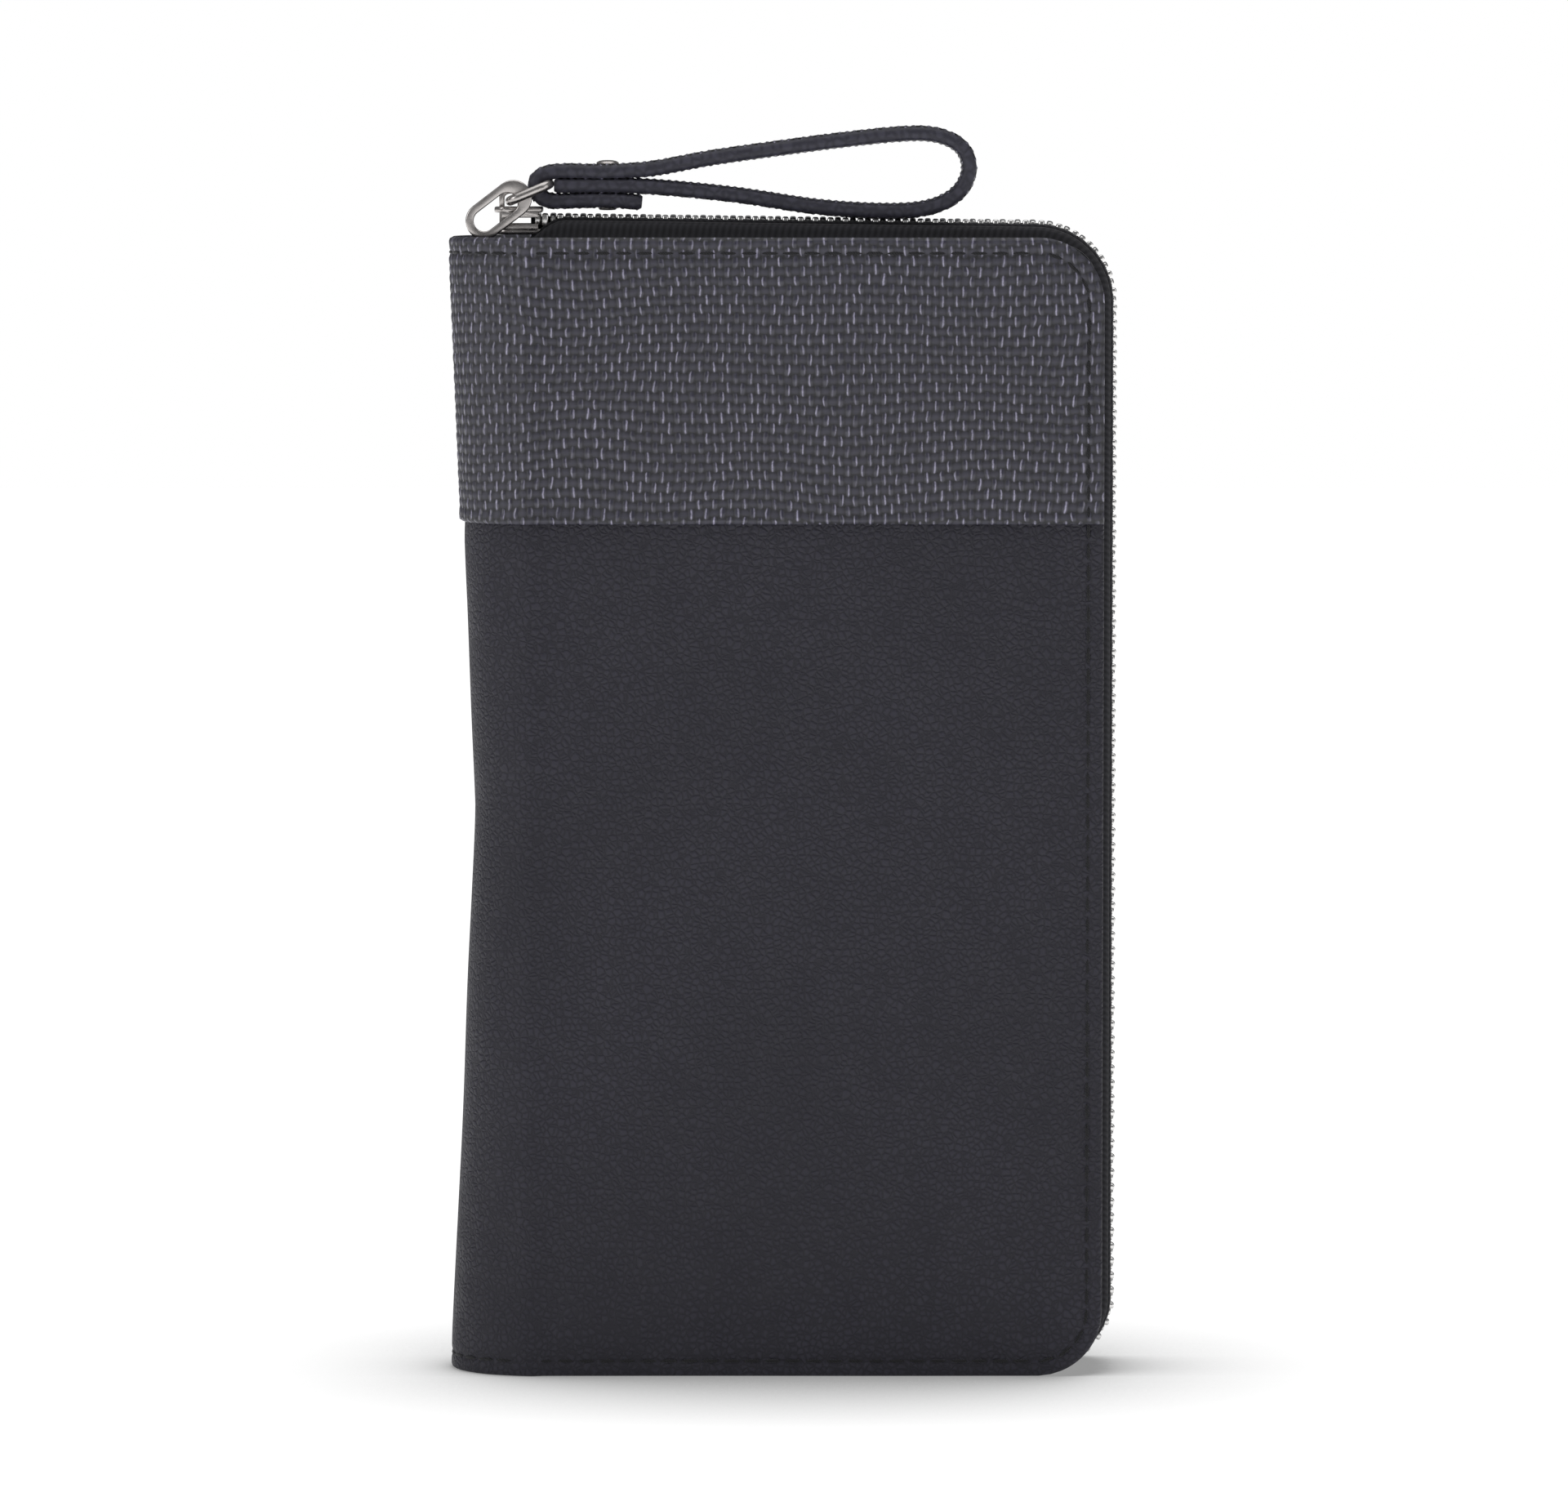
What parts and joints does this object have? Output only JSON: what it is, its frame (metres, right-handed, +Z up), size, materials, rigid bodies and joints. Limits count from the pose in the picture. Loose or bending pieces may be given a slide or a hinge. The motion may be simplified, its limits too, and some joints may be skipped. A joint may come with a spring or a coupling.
{
  "type": "travel document organizer",
  "caption": "Upright zip-around document wallet with a rounded spine, a woven upper band, inner card and passport pockets, and a wrist strap on the zip's pull ring.",
  "frame": {"origin": "centre of the bounding box's bottom face: the floor under the closed, standing wallet", "axes": "+Z up along the covers, +X from the spine towards the zip side, -Y out of the front cover"},
  "size_m": [0.1111, 0.0262, 0.208],
  "materials": {
    "cover_leather": "matt fine-pebbled cow leather, almost black with a blue cast",
    "woven_leather": "leather printed and embossed as a plain weave, satin highs",
    "spine_leather": "matt fine-pebbled leather",
    "stiffener": "pressed fibre board, never seen",
    "lining": "dark twill lining",
    "zip_tape": "black ribbed polyester zip tape",
    "zip_metal": "bright nickel-plated zip teeth",
    "hardware_metal": "satin nickel",
    "pocket_leather": "smooth thin leather",
    "pocket_fabric": "dark twill",
    "strap_weave": "woven faces with smooth painted edges"
  },
  "bodies": {
    "back": {"back_leather_cover": "cover_leather", "back_woven_band": "woven_leather", "back_cover_board": "stiffener", "back_lining": "lining", "back_zip_tape": "zip_tape", "back_zip_teeth": "zip_metal", "zip_bottom_stop": "zip_metal", "coin_pocket_upper_panel": "pocket_fabric", "coin_pocket_lower_panel": "pocket_fabric", "coin_zip_upper_teeth": "zip_metal", "coin_zip_lower_teeth": "zip_metal", "passport_pocket": "pocket_leather", "ticket_pocket": "pocket_leather"},
    "spine": {"spine_leather": "spine_leather", "spine_woven_band": "woven_leather", "spine_lining": "lining", "zip_end_tab_top": "pocket_leather", "zip_end_tab_bottom": "pocket_leather"},
    "front": {"front_leather_cover": "cover_leather", "front_woven_band": "woven_leather", "front_cover_board": "stiffener", "front_lining": "lining", "front_zip_tape": "zip_tape", "front_zip_teeth": "zip_metal", "slip_pocket": "pocket_fabric", "card_slot_1": "pocket_leather", "card_slot_2": "pocket_leather", "card_slot_3": "pocket_leather", "card_slot_4": "pocket_leather", "card_slot_5": "pocket_leather", "card_slot_6": "pocket_leather"},
    "slider": {"zip_slider": "hardware_metal"},
    "ring": {"pull_ring": "hardware_metal"},
    "tab": {"pull_tab": "hardware_metal"},
    "strap": {"wrist_strap": "strap_weave", "strap_rivet": "hardware_metal"},
    "coin_slider": {"coin_zip_slider": "hardware_metal"},
    "coin_pull": {"coin_zip_pull": "hardware_metal"}
  },
  "joints": [
    {"name": "back_crease", "type": "hinge", "parent": "back", "child": "spine", "pos_m": [-0.0425, 0.0125, 0.095], "axis": [0, 0, -1], "range_deg": [0, 90]},
    {"name": "front_crease", "type": "hinge", "parent": "spine", "child": "front", "pos_m": [-0.0425, -0.0125, 0.095], "axis": [0, 0, -1], "range_deg": [0, 90]},
    {"name": "zip_travel", "type": "slide", "parent": "back", "child": "slider", "axis": [0.9999, 0, -0.0142], "range_m": [0, 0.078]},
    {"name": "ring_swing", "type": "hinge", "parent": "slider", "child": "ring", "pos_m": [-0.0453, 0, 0.19592], "axis": [0, -1, 0], "range_deg": [0, 80]},
    {"name": "tab_swing", "type": "hinge", "parent": "slider", "child": "tab", "pos_m": [-0.0453, -0.0054, 0.19592], "axis": [0, 1, 0], "range_deg": [0, 75]},
    {"name": "strap_swing", "type": "hinge", "parent": "ring", "child": "strap", "pos_m": [-0.039, 0, 0.1986], "axis": [0, -1, 0], "range_deg": [0, 80]},
    {"name": "coin_zip_travel", "type": "slide", "parent": "back", "child": "coin_slider", "axis": [1, 0, 0], "range_m": [0, 0.072]},
    {"name": "coin_pull_swing", "type": "hinge", "parent": "coin_slider", "child": "coin_pull", "pos_m": [-0.033, 0.0045, 0.162], "axis": [0, 0, -1], "range_deg": [0, 170]}
  ],
  "couplings": [
    {"joint": "front_crease", "follows": "back_crease", "ratio": 1}
  ]
}
